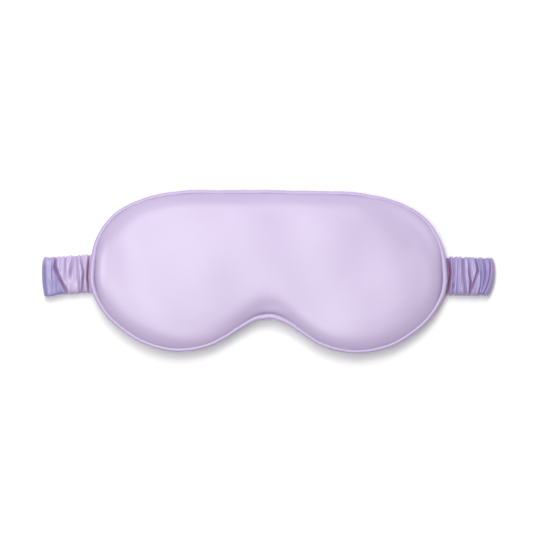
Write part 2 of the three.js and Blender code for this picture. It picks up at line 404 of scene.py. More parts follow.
def cover_layout(insets):
    """The flat layout of one cover, and each of its points' inset and distance along the edge."""
    count, spacing = 420, 2.2
    flat, faces = layout(count, insets, spacing)
    inset = inset_of(flat)
    arc = np.tile(np.arange(count) * EDGE_LENGTH / count, len(insets))
    arc = np.concatenate([arc, np.zeros(len(flat) - len(arc))])
    return count, flat, faces, inset, arc


def front_top(tree, flat, inset):
    """Height of the front cover: its shape, domed as the pillow is, with its dents and waves."""
    pressed = heights(tree, flat, 1)
    shoulder = np.nanmedian(pressed[(inset > 14) & (inset < 17)])
    dome = DOME_SHARE * np.nan_to_num(pressed - shoulder) * step(inset, 9, 12)
    top = front_height(flat, inset, FRONT_CROWN) + dome - dents(flat) * step(inset, GROOVE, 8)
    return top + slow_waves(flat, seed=3, size=0.3) * step(inset, 5, 14)


def stretched_flat(x, y):
    """How much wider than its cord the piping lies at the two ends, and at the notch."""
    ends = 0.3 * step(np.abs(x), 92, 12) * hump(y, -1, 17)
    notch = 0.45 * hump(x, 2, 14) * decay(y, -27, 12) * (y < 10)
    return ends, notch


def drawn_in(flat):
    """The front panel's layout with its edge set further in where more of the piping shows."""
    ends, notch = stretched_flat(flat[:, 0], flat[:, 1])
    return flat + 2 * PIPE_R * np.column_stack([-ends * np.sign(flat[:, 0]), notch])


def on_cloth(flat):
    """Each flat point's place on its cloth."""
    return np.column_stack([flat, np.zeros(len(flat))])


def front_cover(tree):
    """The front panel, from its hidden lip on the seam over the piping's shoulder to its crown."""
    count, flat, faces, inset, arc = cover_layout([p[0] for p in LIP] + FRONT_RINGS)
    lip = len(LIP) * count
    tight = tightness(flat)
    top = front_top(tree, flat, inset)
    top += puckers(arc, inset, seed=5, size=0.05) * tight * step(inset, GROOVE, 0.8)
    top[:lip] = FRONT_EDGE_Z + np.repeat([p[1] for p in LIP], count)
    top -= 0.45 * tight * decay(inset, GROOVE, 1.2)
    # painted shade: fold darkens the satin in the groove along the seam, most where the seam pulls hardest,
    # and over the hidden lip
    fold = tight * decay(inset, GROOVE, 0.85)
    fold[:lip] = 0.3
    skin = EDGE_SKIN + (SKIN - EDGE_SKIN) * step(inset, GROOVE, 1.6)
    skin[:lip] = EDGE_SKIN
    fields = {"cloth": on_cloth(flat), "fold": fold}
    return closed_between("front_cover", drawn_in(flat), faces, count, top, top - skin, fields)


def back_cover(tree):
    """The back panel, which passes under the strap at the two side seams."""
    count, flat, faces, inset, arc = cover_layout(BACK_RINGS)
    shape = back_height(flat, inset, BACK_CROWN)
    pressed = heights(tree, flat, -1)
    pressed = np.where(np.isnan(pressed), shape, pressed)
    free = 1 - mouth(flat)
    bottom = shape + (pressed - shape) * step(inset, GROOVE + 0.4, 4.5) * free
    bottom = np.maximum(bottom + puckers(arc, inset, seed=9, size=0.05) * free, BACK_Z)
    # painted shade: fold darkens the back panel's edge where it meets the piping
    fields = {"cloth": on_cloth(flat), "fold": 0.45 * decay(inset, BACK_RINGS[0], 0.4)}
    return closed_between("back_cover", flat, faces, count, bottom + SKIN, bottom, fields)


def build_panels():
    """The front and back covers, with the pads and the lining between them."""
    tree = inflated()
    for obj, node in ((front_cover(tree), "front_panel"), (back_cover(tree), "back_panel")):
        on_mask(obj, "satin", node)
    build_fill(tree)


def build_fill(tree):
    """The wadding and the blackout lining, which follow the covers inside."""
    count, spacing = 260, 4.5
    flat, faces = layout(count, FILL_RINGS, spacing)
    inset = inset_of(flat)
    inset[:count] = FILL_RINGS[0]
    open_out = step(inset, FILL_RINGS[0], 2.2)  # 0 at the pads' thin edges, 1 where they are full
    clear, rim, low_rise, high_drop = 0.6, 0.8, 0.8, 0.6
    floor = LINING_HIGH[2] + 0.3
    top = front_top(tree, flat, inset) - SKIN - clear
    top = floor + rim + (top - floor - rim) * open_out
    low = BACK_FILL_LOW[2] + 0.1 + low_rise * (1 - open_out)
    high = BACK_FILL_HIGH[2] - high_drop * (1 - open_out)
    lining = [np.full(len(flat), z) for z in (LINING_HIGH[2], LINING_LOW[2])]
    pieces = [
        ("front_pad", "front_wadding", "wadding", top, np.full(len(flat), floor)),
        ("light_block", "blackout_lining", "blackout", *lining),
        ("back_pad", "back_wadding", "wadding", high, low),
    ]
    for name, node, slot, above, below in pieces:
        obj = closed_between(name, flat, faces, count, above, below, {"cloth": on_cloth(flat)})
        on_mask(obj, slot, node)


# ---- the edge

STATIONS = 1120  # round the piping and its cord
PLY = 0.3  # thickness of the piping's cover
PLY_GAP = 0.2
PLY_TOP = PIPE_Z - 0.25
PLY_REACH = HALF_WIDTH - THREAD_HIGH[0] + 2.6  # the plies run past the seam
OUTSIDE, INSIDE = 34, 18  # points round the cover's two faces
CORD_R = PIPE_R - 0.62
CORD_TWISTS = 190
DIAGONAL = 0.7071  # the cover is cut on the bias


def sweep(name, section, fields):
    """A hoop round the outline. section gives each station's (inset, height) points from its arc length."""
    points, outward, length = outline(STATIONS)
    arcs = np.arange(STATIONS) * length / STATIONS
    insets, levels = section(arcs[:, None])
    sides = insets.shape[1]
    flat = points[:, None] - outward[:, None] * insets[:, :, None]
    solid = np.concatenate([flat, levels[:, :, None]], axis=2).reshape(-1, 3)
    return add_object(name, solid, grid_faces(STATIONS, sides, wrap_rows=True), fields(arcs, sides))


def piping_section(arcs):
    """The cover's section: round the cord outside, in along two plies, and round the cord inside."""
    inner = PIPE_R - PLY
    levels = [PLY_TOP, PLY_TOP - PLY, PLY_TOP - PLY - PLY_GAP, PLY_TOP - 2 * PLY - PLY_GAP]
    angles = [np.arcsin((PIPE_Z - z) / r) for z, r in zip(levels, (PIPE_R, inner, inner, PIPE_R))]
    outside = np.linspace(angles[3] - np.pi, np.pi + angles[0], OUTSIDE)
    inside = np.linspace(np.pi + angles[1], angles[2] - np.pi, INSIDE)
    turn = np.concatenate([outside, inside])
    skin = np.concatenate([np.ones(OUTSIDE), np.zeros(INSIDE)])
    # the satin's ripples lean across the cord, at so many to the round, and the cord itself sways a little
    bias = 2 * np.pi * arcs / EDGE_LENGTH
    ripples = np.sin(bias * 118 + turn * 2 + 0.8 * np.sin(bias * 9)) + 0.7 * np.sin(bias * 203 - turn + 2)
    radius = np.where(skin, PIPE_R, inner) + skin * 0.022 * ripples
    sway = 0.09 * np.sin(bias * 11 + 1) + 0.07 * np.sin(bias * 23 + 2) + 0.04 * np.sin(bias * 47)
    sway = sway - 0.3 * hump(arcs, EDGE_LENGTH - 2.3, 1.3)  # a small kink at the notch
    x, y = (np.interp(arcs, np.arange(EDGE_POINTS) * EDGE_LENGTH / EDGE_POINTS, EDGE[:, k]) for k in (0, 1))
    insets = (PIPE_R - radius * np.cos(turn)) * (1 + sum(stretched_flat(x, y))) + sway
    rises = PIPE_Z + radius * np.sin(turn) + 0 * arcs
    ones = np.ones_like(arcs)
    seam = [ones * PLY_REACH] * 2
    insets = np.hstack([insets[:, :OUTSIDE], *seam, insets[:, OUTSIDE:], *seam])
    upper, lower = [ones * z for z in levels[:2]], [ones * z for z in levels[2:]]
    rises = np.hstack([rises[:, :OUTSIDE], *upper, rises[:, OUTSIDE:], *lower])
    return insets, rises


def cover_fields(arcs, sides):
    """The cover's place on its bias-cut cloth, and the painted shade where the panels sit on it."""
    around = np.linspace(0, 2 * np.pi * PIPE_R, sides)
    bias = np.stack(np.broadcast_arrays(arcs[:, None] + around, arcs[:, None] - around, 0), axis=2)
    turn = np.linspace(0, 1, sides)
    # painted shade in the two crevices where the front and back panels meet the cord
    seat_shade = hump(turn, 0.03, 0.05) + hump(turn, 0.62, 0.05)
    return {"cloth": bias.reshape(-1, 3) * DIAGONAL, "fold": np.tile(seat_shade, len(arcs))}


def core_section(arcs):
    """The cord's section: three twisted strands."""
    turn = np.linspace(0, 2 * np.pi, 24, endpoint=False)
    strand = np.abs(np.sin(1.5 * (turn - 2 * np.pi * arcs / EDGE_LENGTH * CORD_TWISTS)))
    radius = CORD_R + 0.07 * strand
    return PIPE_R - radius * np.cos(turn), PIPE_Z + radius * np.sin(turn)


def core_fields(arcs, sides):
    around = np.linspace(0, 2, sides)
    return {"cloth": np.stack(np.broadcast_arrays(arcs[:, None], around, 0), axis=2).reshape(-1, 3)}


def build_edge():
    """The piping, its cord and the seam's stitches."""
    cover = sweep("piping", piping_section, cover_fields)
    on_mask(cover, "piping_satin", "piping_cover")
    on_mask(sweep("piping_core", core_section, core_fields), "cotton", "piping_cord")
    build_stitches()


def tube(path, radius, sides):
    """Points and faces of a closed tube along a path, tapering at its two ends."""
    along = np.gradient(path, axis=0)
    along /= np.linalg.norm(along, axis=1)[:, None]
    across = np.cross(along, [0, 0, 1])
    across /= np.linalg.norm(across, axis=1)[:, None]
    over = np.cross(across, along)
    turn = np.linspace(0, 2 * np.pi, sides, endpoint=False)
    tip = 0.35
    size = radius * np.array([tip, *np.ones(len(path) - 2), tip])[:, None, None]
    ring = across[:, None] * np.cos(turn)[None, :, None] + over[:, None] * np.sin(turn)[None, :, None]
    points = (path[:, None] + ring * size).reshape(-1, 3)
    faces = grid_faces(len(path), sides, flip=True)
    last = (len(path) - 1) * sides
    return points, [*faces, tuple(range(sides)), tuple(last + sides - 1 - k for k in range(sides))]


def add_threads(name, paths, radius, node):
    """One piece made of many short threads."""
    tubes, faces = [], []
    total = 0
    for path in paths:
        some, some_faces = tube(path, radius, sides=6)
        tubes.append(some)
        faces.extend(tuple(total + v for v in f) for f in some_faces)
        total += len(some)
    points = np.concatenate(tubes)
    on_mask(add_object(name, points, faces, {"cloth": points}), "thread", node)


def build_stitches():
    """Lock stitches along the perimeter seam, and a zigzag bar tack across each end of the strap."""
    pitch, thread = 3, 0.11
    inset = HALF_WIDTH - THREAD_HIGH[0] + 0.3
    level = (THREAD_LOW[2] + THREAD_HIGH[2]) / 2
    stitches, places = round(EDGE_LENGTH / pitch), 10
    points, outward, _ = outline(stitches * places)
    lane = points - outward * inset
    dip = level - 0.1 * np.array([1, 0.3, 0, 0, 0, 0, 0.3, 1])
    starts = range(0, stitches * places, places)
    paths = [np.column_stack([lane[k + 1:k + places - 1], dip]) for k in starts]
    add_threads("seam_stitches", paths, thread, "perimeter_seam")
    rows = 34
    ys = np.linspace(TACK_LOW[1] + thread, TACK_HIGH[1] - thread, rows)
    xs = np.where(np.arange(rows) % 2, TACK_LOW[0] + thread, TACK_HIGH[0] - thread)
    zigzag = np.column_stack([xs, ys, np.full(rows, level)])
    add_threads("right_tack_stitches", [zigzag], thread, "right_bar_tack")
    add_threads("left_tack_stitches", [zigzag * [-1, 1, 1]], thread, "left_bar_tack")


# ---- the strap

# Distance q runs along the strap's middle line, 0 at its centre, positive to the right: out along the run
# under the mask, round the fold, and back in along the stub to the side seam.
FOLD_END = FOLD_X + np.pi * FOLD_R
STUB_AT = FOLD_END + FOLD_X  # q of a place x on the stub is STUB_AT - x


def strap_line(q):
    """Middle line of the strap: x, z, and the direction of the strap's outer face."""
    s, side = np.abs(q), np.sign(q) + (q == 0)
    turn = np.clip((s - FOLD_X) / FOLD_R, 0, np.pi) - np.pi / 2
    x = np.where(s < FOLD_X, s, np.where(s < FOLD_END, FOLD_X + FOLD_R * np.cos(turn), STUB_AT - s))
    z = (RUN_Z + STUB_Z) / 2 + FOLD_R * np.sin(turn)
    return side * x, z, side * np.cos(turn), np.sin(turn)


# Creases on the two stubs: where each lies from the top edge to the bottom edge, as (y, distance from the
# mask's middle), its depth at those places, its width towards the mask and towards the fold, and how strong
# its painted plum shade is; over 1 it is a painted shadow, nearly black.
LEFT_CREASES = [
    ([(9, 108.4), (3, 108.8), (-5, 109.2), (-13, 108.5)], [1.6, 2, 2, 1.6], 0.45, 0.55, 1.9),
    ([(8, 111.2), (-4, 110.6), (-13, 110.7)], [0.5, 0.5, 0.6], 0.4, 0.5, 0),
    ([(8, 113.7), (-2, 111.8), (-13, 112.5)], [0.7, 1.3, 1.9], 0.75, 0.5, 0.85),
    ([(8, 115.9), (-2, 114.9), (-13, 113.7)], [1, 0.8, 1.1], 0.6, 0.7, 0.4),
    ([(8, 118), (-2, 119.5), (-7, 119.2)], [0.8, 1.2, 0.3], 1.3, 0.8, 0.35),
    ([(8, 122.6), (-4, 122.7), (-13, 122.2)], [1.3, 0.6, 0.3], 0.5, 0.6, 0.4),
    ([(8, 125.3), (2, 125.6), (-3, 125)], [0.5, 0.3, 0], 0.5, 0.5, 0),
    ([(7, 128.8), (1.1, 129.1), (-5, 126.6), (-9.6, 124.1), (-13.6, 122.3)],
     [1.2, 1.9, 1.6, 2, 1.9], 1, 0.45, 0.95),
    ([(7, 132.6), (3, 132.2), (-2, 131.5)], [0.5, 0.2, 0], 0.8, 0.8, 0),
]
RIGHT_CREASES = [
    ([(9.5, 108.7), (0, 109.7), (-12, 108.5)], [1.5, 2.4, 1.5], 1.1, 0.7, 1.8),
    ([(10, 112.2), (0, 112), (-12, 111.6)], [0.8, 0.9, 0.5], 0.7, 0.7, 0),
    ([(-5, 112.2), (-7.5, 111.9), (-10, 111.4)], [0, 0.9, 0.4], 0.35, 0.35, 0.8),
    ([(10, 114.8), (0, 114.5), (-12, 114.2)], [0.3, 0.5, 0.6], 0.6, 0.6, 0),
    ([(10, 117.6), (0, 117.9), (-12, 119.4)], [1.1, 1, 0.8], 1, 0.6, 0.5),
    ([(9, 121), (-0.8, 121.6), (-6, 122.4), (-12, 122.5)], [0.4, 1.2, 1.8, 1.9], 0.6, 0.4, 0.95),
    ([(9, 125.1), (2, 126.2), (-5, 124.2), (-12, 122.8)], [1.3, 1.8, 1.4, 1], 0.4, 0.8, 0.75),
    ([(9, 127.1), (0, 128.6), (-12, 129.4)], [1.1, 1.1, 0.9], 0.5, 0.6, 0),
    ([(9, 131.4), (0, 131.6), (-12, 131)], [0.9, 1.3, 1.2], 1.5, 1.4, 0),
    ([(9, 134.3), (0, 133.9), (-12, 132.9)], [1.3, 1.5, 1.3], 0.5, 0.4, 0.7),
]


def stub_creases(creases, side):
    """Those creases with their places as distances q."""
    made = []
    for line, depths, to_mask, to_fold, colour in creases:
        ys, xs = np.array(line, float)[::-1].T
        widths = (to_fold, to_mask) if side > 0 else (to_mask, to_fold)
        made.append((ys, side * (STUB_AT - xs), np.array(depths, float)[::-1], widths, colour))
    return made


def run_creases(seed, low, high, depth):
    """Creases of a hidden length of sleeve, at uneven steps."""
    rng = np.random.default_rng(seed)
    ys = STRAP_Y + STRAP_HALF * np.array([-1, -0.4, 0.3, 1])
    made = []
    q = low
    while q < high:
        q += rng.uniform(2.6, 5.4)
        sway = np.cumsum(rng.normal(0, 0.9, 4))
        strength = depth * rng.uniform(0.25, 1, 4)
        # the last entry is the strength of the crease's painted plum shade
        made.append((ys, q + sway, strength, tuple(rng.uniform(0.35, 0.9, 2)), rng.uniform(0.2, 0.8)))
    return made


def crease_fields(q, y, creases):
    """How far below its puffs the sleeve's face lies, and how strong its painted plum shade in the creases
    is, at each place.
    """
    depth, colour = np.zeros(q.shape), np.zeros(q.shape)
    lip_share, full_depth = 0.22, 1.2
    for ys, qs, depths, widths, shade_strength in creases:
        away = q - np.interp(y, ys, qs)
        width = np.where(away < 0, widths[0], widths[1])
        shape = np.exp(-(np.abs(away) / width) ** 1.25)
        here = np.interp(y, ys, depths)
        lip = hump(np.abs(away), 2 * width, 0.8 * width)
        depth = depth + here * (shape - lip_share * lip)
        # painted plum shade, strongest in the middle of each crease
        plum_shade = shade_strength * np.minimum(1, here / full_depth) * np.exp(-(np.abs(away) / (0.8 * width)) ** 1.6)
        colour = np.maximum(colour, plum_shade)
    return depth, colour


def wrinkles(q, y, seed):
    """Fine gathers that run across the strap."""
    rng = np.random.default_rng(seed)
    total = np.zeros(np.broadcast(q, y).shape)
    for length in (1.3, 1.9, 2.7, 3.9):
        lean = rng.normal(0, 0.12)
        sway = 0.9 * np.sin(y / rng.uniform(3.5, 7) + rng.uniform(0, 6))
        swell = 0.6 + 0.4 * np.sin(q / rng.uniform(5, 11) + y / rng.uniform(4, 9) + rng.uniform(0, 6))
        total += swell * length / 3 * np.sin(2 * np.pi * (q + lean * y) / length + sway)
    return total


OUTER = stub_creases(LEFT_CREASES, -1) + stub_creases(RIGHT_CREASES, 1) + run_creases(21, -138, 134, 0.5)
INNER = run_creases(22, -168, 166, 0.55)
RUN_PUFF, STUB_PUFF = 1.35, 2.75  # how far the sleeve's outer face stands off its middle line
LEAST_PUFF, MOST_RUN_PUFF, MOST_STUB_PUFF, INNER_PUFF = 0.95, 1.56, 3.1, 1.6
SIDE_SHAPE, FACE_SHAPE = 0.62, 0.72  # how square its section is: 1 is round
HOLLOW_HALF, HOLLOW_HIGH = 10.0, 0.75  # half the width and height of the sleeve's hollow


def strap_middle(q):
    """y of the strap's middle line: the left fold droops, and the right stub sits a little higher."""
    s = np.abs(q)
    left = -2.0 * step(s, 96, 38) * (1 - step(s, STUB_AT - 137, 30))
    right = 0.9 * step(s, 120, 45)
    return STRAP_Y + np.where(q < 0, left, right)


def fold_lean(q, y):
    """How far each fold's end is drawn in towards the mask, which leans it in below and rounds it above."""
    s = np.abs(q)
    near = step(s, FOLD_X - 12, 12) * step(-s, 118 - STUB_AT, 14)
    low = np.clip(-y / 13, 0, 1)
    high = np.clip((y - 3) / 6, 0, 1) ** 2
    return near * np.where(q < 0, 0.9 * low ** 2 + 0.4 * high, 3.0 * low ** 2 + 0.9 * high)


def outer_height(q, y):
    """How far the sleeve's outer face stands off the strap's middle line."""
    s = np.abs(q)
    x = np.where(s > FOLD_END, STUB_AT - s, FOLD_X)
    stub = step(s, FOLD_END - 3, 6)
    tucked = 1.2 * step(-x, -110.4, 2.2)  # under the piping
    droop = np.where(q < 0, 1.5 * step(x, 122, 13) * step(-y, -4, 14), 0.5 * step(x, 126, 8))
    return RUN_PUFF + (STUB_PUFF - RUN_PUFF - tucked - droop) * stub


def placed(q, y, off):
    """Points at distances q, at y across the strap and off its middle line, drawn in as the folds are."""
    x, z, nx, nz = strap_line(q)
    return np.stack([x + off * nx - fold_lean(q, y) * np.sign(q), y, z + off * nz], axis=-1)


def sleeve_point(q, turn):
    """The sleeve's outside at distances q and angles turn round its section: points, painted crease shade
    and painted blue shade, and cloth.
    """
    c, s = np.cos(turn), np.sin(turn)
    wide = np.sign(c) * np.abs(c) ** SIDE_SHAPE
    thick = np.abs(s) ** FACE_SHAPE
    outer = s >= 0
    middle = strap_middle(q)
    rough_y = middle + STRAP_HALF * wide
    out_depth, out_shade = crease_fields(q, rough_y, OUTER)
    in_depth, in_shade = crease_fields(q, rough_y, INNER)
    depth = np.where(outer, out_depth, in_depth)
    # painted shade: colour is the painted plum shade in the creases
    colour = np.where(outer, out_shade, in_shade)
    edge_depth = crease_fields(q, middle + STRAP_HALF * np.sign(c), OUTER)[0]
    half = STRAP_HALF + 0.3 - 0.75 * np.minimum(edge_depth, 1.5) + 0.16 * wrinkles(q, 8 * np.sign(c), 31)
    sag = hump(np.abs(q), STUB_AT - 133.5, 5) * (q < 0) * (c < 0)
    y = middle + (half + 1.1 * sag) * wide
    x_stub = STUB_AT - np.abs(q)
    smooth = step(x_stub, 121 + 0.3 * (y + 13), 5) * step(-y, -8, 14) * (q < 0)  # on the left fold
    fine = wrinkles(q, y, 33) * 0.075 * (1 - 0.85 * smooth * (np.abs(q) > FOLD_X))
    stub = step(np.abs(q), FOLD_END, 5)
    face = outer_height(q, y) - depth * (0.75 + 0.35 * stub) + fine * (1 + 0.7 * stub)
    face = np.clip(face, LEAST_PUFF, np.where(stub > 0.5, MOST_STUB_PUFF, MOST_RUN_PUFF))
    under = np.clip(INNER_PUFF - in_depth + fine, LEAST_PUFF, INNER_PUFF)
    off = np.where(outer, face, -under) * thick
    # painted shade: the right stub all over, the left fold's smooth lower patch and both ends are shaded
    # blue, and more so in the creases
    end = step(x_stub, 126, 6)
    blue_shade = np.where(q < 0, smooth + 0.55 * end, 0.53 + 0.25 * end)
    blue_shade = blue_shade + 0.55 * np.minimum(1, np.maximum(depth, 0) / 1.3)
    shade = np.where(outer, np.clip(blue_shade, 0, 1), np.minimum(1, 0.5 * depth))
    return placed(q, y, off), (colour * thick, shade), np.stack(np.broadcast_arrays(q, y, off), axis=-1)


def flat_point(q, turn, half, thickness):
    """Points of a plain flat section of the strap."""
    c, s = np.cos(turn), np.sin(turn)
    y = strap_middle(q) + half * np.sign(c) * np.abs(c) ** 0.4
    return placed(q, y, thickness * np.sign(s) * np.abs(s) ** 0.5)


OUTER_TURNS = np.linspace(0, np.pi, 110, endpoint=False)
INNER_TURNS = np.linspace(np.pi, 2 * np.pi, 34, endpoint=False)
TURNS = np.concatenate([OUTER_TURNS, INNER_TURNS])[None]


def steps_between(low, high):
    """Distances q from low to high, close together on the stubs and folds and wider on the hidden run."""
    fine, coarse = 0.17, 0.45
    at = [low]
    while at[-1] < high:
        at.append(at[-1] + (fine if abs(at[-1]) > FOLD_X - 4 else coarse))
    return low + (np.array(at) - low) * (high - low) / (at[-1] - low)


def sleeve_piece(name, low, high, closed):
    """A length of gathered sleeve with a hollow for the elastic. An end in closed has its outer side drawn
    in to the hollow, and stays full on the side it hinges on."""
    q = steps_between(low, high)[:, None]
    outside, (colour, shade), cloth = sleeve_point(q, TURNS)
    inside = flat_point(q, TURNS, HOLLOW_HALF, HOLLOW_HIGH)
    for end in closed:
        pull = ease(1 - np.abs(q - end) / 1.1)[:, :, None]
        hinge_side = np.sin(TURNS) < 0
        rim = flat_point(q, TURNS, HOLLOW_HALF + 0.6, HOLLOW_HIGH + np.where(hinge_side, 1.0, 0.3))
        outside = outside + (rim - outside) * pull
    rows, cols = colour.shape
    size = rows * cols
    faces = grid_faces(rows, cols) + grid_faces(rows, cols, start=size, flip=True)
    last = size - cols
    for j in range(cols):
        k = (j + 1) % cols
        faces.append((j, size + j, size + k, k))
        faces.append((last + j, last + k, size + last + k, size + last + j))
    points = np.concatenate([outside.reshape(-1, 3), inside.reshape(-1, 3)])
    # painted shade: the sleeve's inside faces are painted half in the fold shade and half in the blue shade
    fold, shade = (np.append(field, np.full(size, 0.5)) for field in (colour, shade))
    cloth = np.tile(cloth.reshape(-1, 3), (2, 1))
    return add_object(name, points, faces, {"fold": fold, "shade": shade, "cloth": cloth})


def elastic_piece(name, low, high):
    """A length of the ribbed elastic inside the sleeve."""
    q = np.linspace(low, high, max(12, int((high - low) / 0.8)))[:, None]
    half, thick = (ELASTIC_HIGH[1:] - ELASTIC_LOW[1:]) / 2
    turn = np.linspace(0, 2 * np.pi, 96, endpoint=False)[None]
    ribs = 0.05 * np.cos(2 * np.pi * 9 * np.cos(turn))
    points = flat_point(q, turn, half, thick + ribs)
    rows, cols = points.shape[:2]
    last = (rows - 1) * cols
    faces = grid_faces(rows, cols)
    faces += [tuple(range(cols))[::-1], tuple(last + j for j in range(cols))]
    across = np.broadcast_to(half * np.cos(turn), (rows, cols))
    cloth = np.stack([np.broadcast_to(q, (rows, cols)), across, np.zeros((rows, cols))], axis=-1)
    return add_object(name, points.reshape(-1, 3), faces, {"cloth": cloth.reshape(-1, 3)})


BENDS = ("left_bend_1", "left_bend_2", "left_bend_3")
BEND_X = [abs(joint["pos_m"][0]) / MM for joint in frame["joints"] if joint["name"] in BENDS]
BREAKS = [BEND_X[0] - 16.2, BEND_X[0] + 16.3, BEND_X[1] + 16.3, BEND_X[2] + 16.3]
STUB_BREAK = STUB_AT - 121  # between the fold's piece and the stub's
LEVELS = (RUN_Z + 1.75, STUB_Z - 1.65)  # heights between which the fold bends


def strap_lengths():
    """Each length's name, start and end, the bodies it follows, the places between which it bends from one
    to the next, the CAD nodes it stands for, and its closed end."""
    yield "centre", -BREAKS[0], BREAKS[0], ["strap_centre"], None, ["strap_centre"], ()
    for label, side in (("left", -1), ("right", 1)):
        bodies = ["strap_centre", f"{label}_run_1", f"{label}_run_2", f"{label}_run_3", f"{label}_stub"]
        for i in range(3):
            low, high = BREAKS[i], BREAKS[i + 1]
            line = ((side * low, 0, 0), (side * high, 0, 0))
            yield f"{label}_{i + 1}", low, high, bodies[i:i + 2], line, [f"{label}_strap_{i + 1}"], ()
        line = ((side * FOLD_X, 0, LEVELS[0]), (side * FOLD_X, 0, LEVELS[1]))
        yield f"{label}_fold", BREAKS[3], STUB_BREAK, bodies[3:], line, [f"{label}_fold"], ()
    line = ((-SEAM_X - 5.5, 0, 0), (-SEAM_X + 3.5, 0, 0))
    bodies, nodes = ["left_stub", "mask"], ["left_stub", "left_strap_end"]
    last = STUB_AT - END_LOW[0]
    yield "left_stub", STUB_BREAK, last, bodies, line, nodes, ()
    free_end = STUB_AT - SEAM_X - 0.1
    sewn_end = free_end + 0.2
    yield "right_stub", STUB_BREAK, free_end, ["right_stub"], None, ["right_stub"], (free_end,)
    yield "right_end", sewn_end, last, ["mask"], None, ["right_strap_end"], (sewn_end,)


def build_strap():
    """The gathered sleeve and the elastic inside it, length by length."""
    made = {}
    for name, low, high, bodies, line, nodes, closed in strap_lengths():
        if name.startswith("left"):
            low, high = -high, -low
        sleeve = sleeve_piece(f"sleeve_{name}", low, high, closed)
        elastic = elastic_piece(f"elastic_{name}", low + 0.05, high - 0.05)
        made[name] = (sleeve, elastic, (high - low) * MM)
        for obj, slot, part in ((sleeve, "sleeve_satin", "sleeve"), (elastic, "elastic", "elastic")):
            dress(obj, slot, *[f"{node}_{part}" for node in nodes])
            if line is None:
                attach(obj, bodies[0])
            else:
                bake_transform(obj)
    end_sleeve, end_elastic, _ = made.pop("right_end")


# ---- materials

class Graph:
    """The nodes of one material, round a Principled shader."""

    def __init__(self, name, **sockets):
        self.material = bpy.data.materials.new(name)
        self.material.use_nodes = True
        self.tree = self.material.node_tree
        self.tree.nodes.clear()
        self.shader = self.add("BsdfPrincipled")
        for key, value in sockets.items():
            self.shader.inputs[key.replace("_", " ")].default_value = value
        output = self.add("OutputMaterial")
        self.link(self.shader.outputs["BSDF"], output.inputs["Surface"])

    def add(self, kind, **settings):
        node = self.tree.nodes.new("ShaderNode" + kind)
        for key, value in settings.items():
            setattr(node, key, value)
        return node

    def link(self, output, socket):
        self.tree.links.new(output, socket)

    def feed(self, socket, value):
        """Gives a socket a number or a colour of its own, or links it to another node's output."""
        if isinstance(value, tuple):
            socket.default_value = (*value, 1)
        elif isinstance(value, (int, float)):
            socket.default_value = value
        else:
            self.link(value, socket)

    def field(self, name, output="Fac"):
        return self.add("Attribute", attribute_name=name).outputs[output]

    def texture(self, node, vector, stretch, **inputs):
        """A texture with features 1 / stretch long on each axis, in mm on cloth and m on the floor."""
        mapping = self.add("Mapping")
        mapping.inputs["Scale"].default_value = stretch
        self.link(vector, mapping.inputs["Vector"])
        self.link(mapping.outputs["Vector"], node.inputs["Vector"])
        for key, value in {"Scale": 1, **inputs}.items():
            node.inputs[key].default_value = value
        return node.outputs["Fac"]

    def noise(self, vector, stretch, detail=2.0):
        return self.texture(self.add("TexNoise"), vector, stretch, Detail=detail)

    def wave(self, vector, stretch, direction):
        node = self.add("TexWave", wave_type="BANDS", bands_direction=direction)
        return self.texture(node, vector, stretch, Distortion=0.6)

    def math(self, operation, a, b):
        node = self.add("Math", operation=operation)
        self.feed(node.inputs[0], a)
        self.feed(node.inputs[1], b)
        return node.outputs["Value"]

    def between(self, value, low, high):
        """low to high as the value goes from 0.3 to 0.7, where most of a noise lies."""
        node = self.add("MapRange")
        for key, bound in (("From Min", 0.3), ("From Max", 0.7), ("To Min", low), ("To Max", high)):
            node.inputs[key].default_value = bound
        self.link(value, node.inputs["Value"])
        return node.outputs["Result"]

    def mix(self, factor, first, second):
        node = self.add("Mix", data_type="RGBA")
        self.link(factor, node.inputs["Factor"])
        sockets = [s for s in node.inputs if s.type == "RGBA"]
        self.feed(sockets[0], first)
        self.feed(sockets[1], second)
        return next(s for s in node.outputs if s.type == "RGBA")

    def bump(self, height, strength, depth):
        """Relief of the given depth in mm."""
        node = self.add("Bump")
        node.inputs["Strength"].default_value = strength
        node.inputs["Distance"].default_value = depth * MM
        self.link(height, node.inputs["Height"])
        self.link(node.outputs["Normal"], self.shader.inputs["Normal"])

    def finish(self, colour, roughness):
        self.link(colour, self.shader.inputs["Base Color"])
        self.link(roughness, self.shader.inputs["Roughness"])
        return self.material


def tinted(colour, factor):
    """The colour made lighter or darker, without changing its hue."""
    return tuple(min(1, c * factor) for c in colour)


